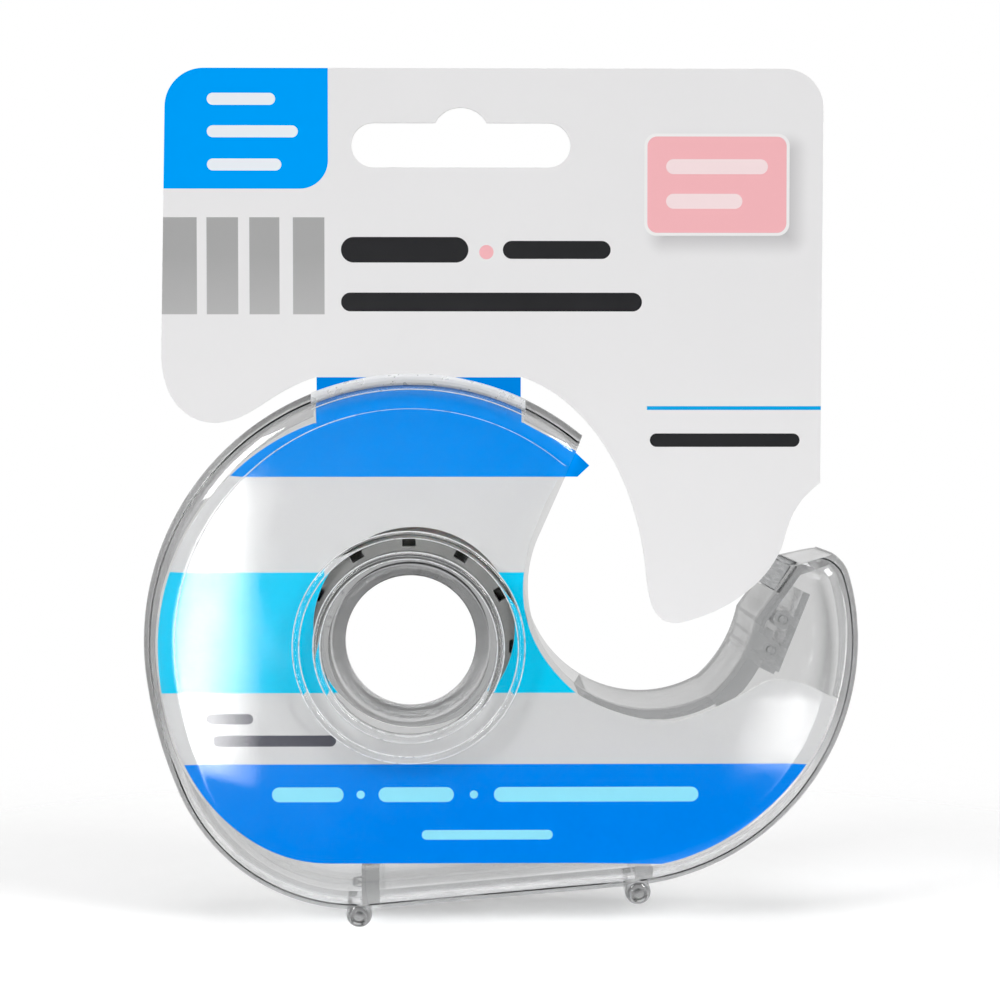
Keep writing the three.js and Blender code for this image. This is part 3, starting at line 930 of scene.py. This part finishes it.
def print_badge(ink):
    """A pink block with a pale rim, a soft shadow and two bars."""
    falloff = ink.calc("MULTIPLY_ADD", ink.distance(33.2, 51.8, 53.9, 67.2, 1.0), 0.35, 0.45)
    shadow = ink.calc("SUBTRACT", 1.0, ink.calc("SMOOTH_MIN", falloff, 1.0, 0.3))
    ink.paint(BADGE_SHADOW, ink.calc("MAXIMUM", shadow, 0.0), 0.7)
    ink.paint(BADGE_RIM, ink.box(31.5, 50.9, 55.0, 68.6, 1.6))
    ink.paint(PINK, ink.box(31.9, 50.5, 55.4, 68.2, 1.3))
    ink.words(PALE_PINK, (34.4, 48.0, 63.2, 65.2), (34.4, 44.6, 58.6, 60.6))


def print_header(ink):
    """The blue corner, the grey tabs below it, the headings, the badge and the line at the right."""
    ink.paint(BLUE, ink.box(-60, -10.7, 61.2, 100, 3.8))
    ink.words(
        WHITE_INK,
        (-26.8, -17.7, 72.3, 73.9), (-26.8, -14.7, 68.0, 69.6), (-26.8, -16.9, 63.6, 65.2),
    )
    fade = ink.calc("MULTIPLY_ADD", ink.z, 0.02, -0.05)
    for left, right in ((-40, -28.2), (-26.9, -22.7), (-21.2, -17.2), (-15.4, -11.2)):
        ink.paint(BAR_GREY, ink.calc("MULTIPLY", ink.box(left, right, 44.5, 57.4), fade))
    ink.words(INK, (-9.0, 8.0, 51.4, 54.8), (12.6, 27.0, 51.9, 54.3), (-9.0, 31.2, 44.9, 47.4))
    ink.paint(PINK, ink.disc(10.4, 52.8, 0.95))
    print_badge(ink)
    ink.paint(LINE_BLUE, ink.box(31.9, 70, 31.75, 32.25))
    ink.words(INK, (32.3, 52.4, 26.8, 28.6))


# The print's own edges: boxes as left, right, low, high, and bands as colour, right, low, high.
LABEL_AREA = (
    (NECK_LEFT, NECK_RIGHT, 0, 36.1), (-60, 21.5, 26, 29.9), (-60, 24.6, -60, 26.5), (-60, 80, -60, -1),
)
LABEL_BANDS = (
    (LABEL_BLUE, 60, 22.8, 60), (LABEL_WHITE, 60, 10, 22.8), (LABEL_WHITE, 80, -6.3, 0),
    (CYAN, 30, -6.2, 10), (LABEL_WHITE, 80, -15.8, -6.2), (DEEP_BLUE, 80, -60, -15.8),
)


def print_label(ink):
    """The label's bands across the case, from the top down, and its words."""
    inside = ink.box(*LABEL_AREA[0])
    for sides in LABEL_AREA[1:]:
        inside = ink.calc("MAXIMUM", inside, ink.box(*sides))
    for colour, right, low, high in LABEL_BANDS:
        ink.paint(colour, ink.calc("MULTIPLY", inside, ink.box(-60, right, low, high)))
    ink.words(LABEL_INK, (-27.2, -20.9, -10.4, -9.0), (-26.3, -9.8, -13.4, -11.9))
    for left, right in ((-18.4, -8.8), (-4.1, 6.0), (11.4, 38.9)):
        ink.words(PALE_CYAN, (left, right, -20.9, -18.9))
    for x in (-6.5, 8.7):
        ink.paint(PALE_CYAN, ink.disc(x, -19.9, 0.55))
    ink.words(PALE_CYAN, (1.7, 19.3, -26.0, -24.7))


def printed_card():
    """Coated board with its print and a smooth film over it."""
    material, tree, shader, output = new_material("printed_card")
    dark, light = ([level * c for c in CARD_WHITE] for level in (1 - MOTTLE, 1 + MOTTLE))
    ink = Print(tree, blend(tree, noise(tree, 35, 2), dark, light))
    print_header(ink)
    print_label(ink)
    feed(tree, ink.colour, shader.inputs["Base Color"])
    spread(tree, noise(tree, 400, 4), 0.3, 0.42, shader.inputs["Roughness"])
    shader.inputs["Specular IOR Level"].default_value = 0.3
    shader.inputs["Coat Weight"].default_value = 0.1
    shader.inputs["Coat Roughness"].default_value = 0.12
    bump(tree, noise(tree, 1500, 3), shader, 0.12, 0.00004)
    return material


# ---- Build ----

plastic = clear_plastic()
hollow = case_hollow()
cover = make_cover(hollow)
shell = make_shell(hollow)
bpy.data.objects.remove(hollow)
for moulding in (cover, shell):
    smooth(moulding)
place(cover, "front_cover_clear", "case", "front_cover", [plastic])
place(shell, "rear_shell_clear", "case", "rear_shell", [plastic])

# The cover's white lines are painted highlights
lines = make_bright_edges()
place(lines, "front_cover_edges", "case", "front_cover", [painted_highlight_white()])

card = make_card()
place(card, "hang_card", "case", "header_card", [printed_card(), board_back()])

blade = make_blade()
place(blade, "blade", "case", "cutter_blade", [blade_steel()])

core = make_core()
smooth(core)
place(core, "core", "roll", "tape_core", [core_plastic()])

roll = make_roll()
smooth(roll, 60)
place(roll, "wound_tape", "roll", "tape_roll", [wound_tape()])

# ---- Stage, light and camera ----

FLOOR_RADIUS = 1.6
FLOOR_FADE = (0.03, 0.17)  # metres from the middle of the floor
DARK_FROM = -0.012         # the Y where the dark zone in front starts
DARK_FULL = -0.04          # and where it's fully dark
FLOOR_GREY = 0.82
FLOOR_GREY_MIRRORED = 0.15
FLOOR_GLOW = 0.25


def dark_zone(tree, y):
    """1 on the floor in front of the object, but 0 for the camera and for the light it gives."""
    dark = ramp(tree, y, DARK_FROM, DARK_FULL)
    for kind in ("Is Camera Ray", "Is Diffuse Ray"):
        dark = calc(tree, "SUBTRACT", dark, light_path(tree, kind), clamp=True)
    return dark


def make_floor():
    """A pale floor that fades out round the object; the print's gloss mirrors a darker one in front."""
    bm = bmesh.new()
    bmesh.ops.create_circle(bm, cap_ends=True, radius=FLOOR_RADIUS, segments=128)
    floor = new_object("floor", bm)
    material, tree, shader, output = new_material("floor_paint")
    shader.inputs["Roughness"].default_value = 0.9
    shader.inputs["Specular IOR Level"].default_value = 0.1
    shader.inputs["Emission Color"].default_value = (1, 1, 1, 1)
    place_on_floor = object_place(tree)
    dark = dark_zone(tree, axes(tree, place_on_floor)["Y"])
    grey = ramp(tree, dark, 0, 1, FLOOR_GREY, FLOOR_GREY_MIRRORED)
    feed(tree, grey, shader.inputs["Base Color"])
    feed(tree, ramp(tree, dark, 0, 1, FLOOR_GLOW, 0), shader.inputs["Emission Strength"])
    length = tree.nodes.new("ShaderNodeVectorMath")
    length.operation = "LENGTH"
    feed(tree, place_on_floor, length.inputs[0])
    fade = ramp(tree, length.outputs["Value"], *FLOOR_FADE, shape="SMOOTHSTEP")
    beyond = tree.nodes.new("ShaderNodeBsdfTransparent")
    mix_shaders(tree, fade, shader, beyond, output)
    floor.data.materials.append(material)
    floor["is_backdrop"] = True


def panel(name, start, end, width, radiance, target=(0, 0, 0)):
    """A soft panel along a line, in millimetres about the hub, that faces a target."""
    start, end, target = Vector(start), Vector(end), Vector(target)
    along = (end - start).normalized()
    across = along.cross((target - (start + end) / 2).normalized()).normalized()
    away = across.cross(along)
    if away.dot(target - start) > 0:
        across, away = -across, -away
    data = bpy.data.lights.new(name, "AREA")
    data.shape = "RECTANGLE"
    data.size = width * MM
    data.size_y = (end - start).length * MM
    data.energy = radiance * math.pi * data.size * data.size_y
    light = bpy.data.objects.new(name, data)
    turn = Matrix((across, along, away)).transposed().to_4x4()
    light.matrix_world = Matrix.Translation(HUB + (start + end) / 2 * MM) @ turn
    light.visible_camera = False
    bpy.context.scene.collection.objects.link(light)
    return light


LEFT_GLARE_WIDTHS = [4 + 3.2 * step for step in range(8)]
RIGHT_GLARE_WIDTHS = [3 + 4 * step for step in range(6)]
GLARE_DROP = 0.5


def make_glare(name, start, end, widths, radiance, target):
    """Panels over one another, whose glare on the front face fades at its sides."""
    for step, width in enumerate(widths):
        drop = Vector((0, 0, GLARE_DROP * step))
        ends = Vector(start) - drop, Vector(end) - drop
        light = panel(f"{name}_{step}", *ends, width, radiance, target)
        light.visible_diffuse = False


ROOM_GREYS = ((0.70, 0.28), (0.93, 0.52), (0.985, 0.78))  # brighter straight behind the object
OVERHEAD_LEVEL = 0.4


def make_world():
    """A plain white backdrop, and a grey room round the object that its clear parts show."""
    world = bpy.data.worlds.new("studio")
    world.use_nodes = True
    tree = world.node_tree
    background = tree.nodes["Background"]
    direction = axes(tree, tree.nodes.new("ShaderNodeTexCoord").outputs["Generated"])
    toward = tree.nodes.new("ShaderNodeValToRGB")
    elements = toward.color_ramp.elements
    elements.new(1.0)
    for element, (position, grey) in zip(elements, ROOM_GREYS):
        element.position = position
        element.color = (grey, grey, grey, 1)
    feed(tree, direction["Y"], toward.inputs["Fac"])
    overhead = ramp(tree, direction["Z"], 0.25, 0.6, 1.0, OVERHEAD_LEVEL, "SMOOTHSTEP")
    room = calc(tree, "MULTIPLY", toward.outputs["Color"], overhead)
    seen = tree.nodes.new("ShaderNodeMix")
    feed(tree, light_path(tree, "Is Camera Ray"), seen.inputs["Factor"])
    feed(tree, room, seen.inputs["A"])
    feed(tree, 1.0, seen.inputs["B"])
    feed(tree, seen.outputs["Result"], background.inputs["Strength"])
    background.inputs["Color"].default_value = (1, 1, 1, 1)
    bpy.context.scene.world = world


CAMERA_PLACE = (8.2, -316.5, 30.4)
CAMERA_LENS = 82.44
CAMERA_SENSOR = 36
AIM_RIGHT = 1.08  # how far off the middle of the sensor straight ahead lies
AIM_DOWN = 2.88


def make_camera():
    """Nearly straight on, a little above the case's middle, as a hand-held product shot."""
    data = bpy.data.cameras.new("camera")
    data.lens = CAMERA_LENS
    data.sensor_width = CAMERA_SENSOR
    data.clip_start = 0.01
    camera = bpy.data.objects.new("camera", data)
    camera.location = HUB + Vector(CAMERA_PLACE) * MM
    right_turn = math.atan2(AIM_RIGHT, CAMERA_LENS)
    down_tilt = math.atan2(AIM_DOWN, CAMERA_LENS)
    camera.rotation_euler = (math.pi / 2 - down_tilt, 0, -right_turn)
    bpy.context.scene.collection.objects.link(camera)
    bpy.context.scene.camera = camera


BLACK_LEVEL = 0.03
BOUNCES_THROUGH = 16
BOUNCES = 18

make_floor()
make_world()
panel("key_left", (-900, -700, 500), (-700, -700, 900), 420, 14.6)
panel("key_right", (900, -700, 500), (700, -700, 900), 420, 14.2)
panel("overhead", (0, -350, 1000), (0, 350, 1000), 700, 2.6)
make_glare(
    "left_glare", (-44.4, -127, -31.4), (-62.5, -341, 17),
    LEFT_GLARE_WIDTHS, 1.5, (-25, -11.5, 0),
)
make_glare(
    "right_glare", (71.1, -150, -35.2), (90, -271, -36),
    RIGHT_GLARE_WIDTHS, 0.9, (49, -11.5, -12),
)
make_camera()
scene = bpy.context.scene
scene.view_settings.view_transform = "Standard"
scene.view_settings.use_curve_mapping = True
scene.view_settings.curve_mapping.black_level = (BLACK_LEVEL, BLACK_LEVEL, BLACK_LEVEL)
scene.view_settings.curve_mapping.update()
scene.cycles.transmission_bounces = BOUNCES_THROUGH
scene.cycles.transparent_max_bounces = BOUNCES_THROUGH
scene.cycles.max_bounces = BOUNCES

both = {"cad": cad_bounds, "visual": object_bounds()}
{name: [list(corner) for corner in box] for name, box in both.items()}
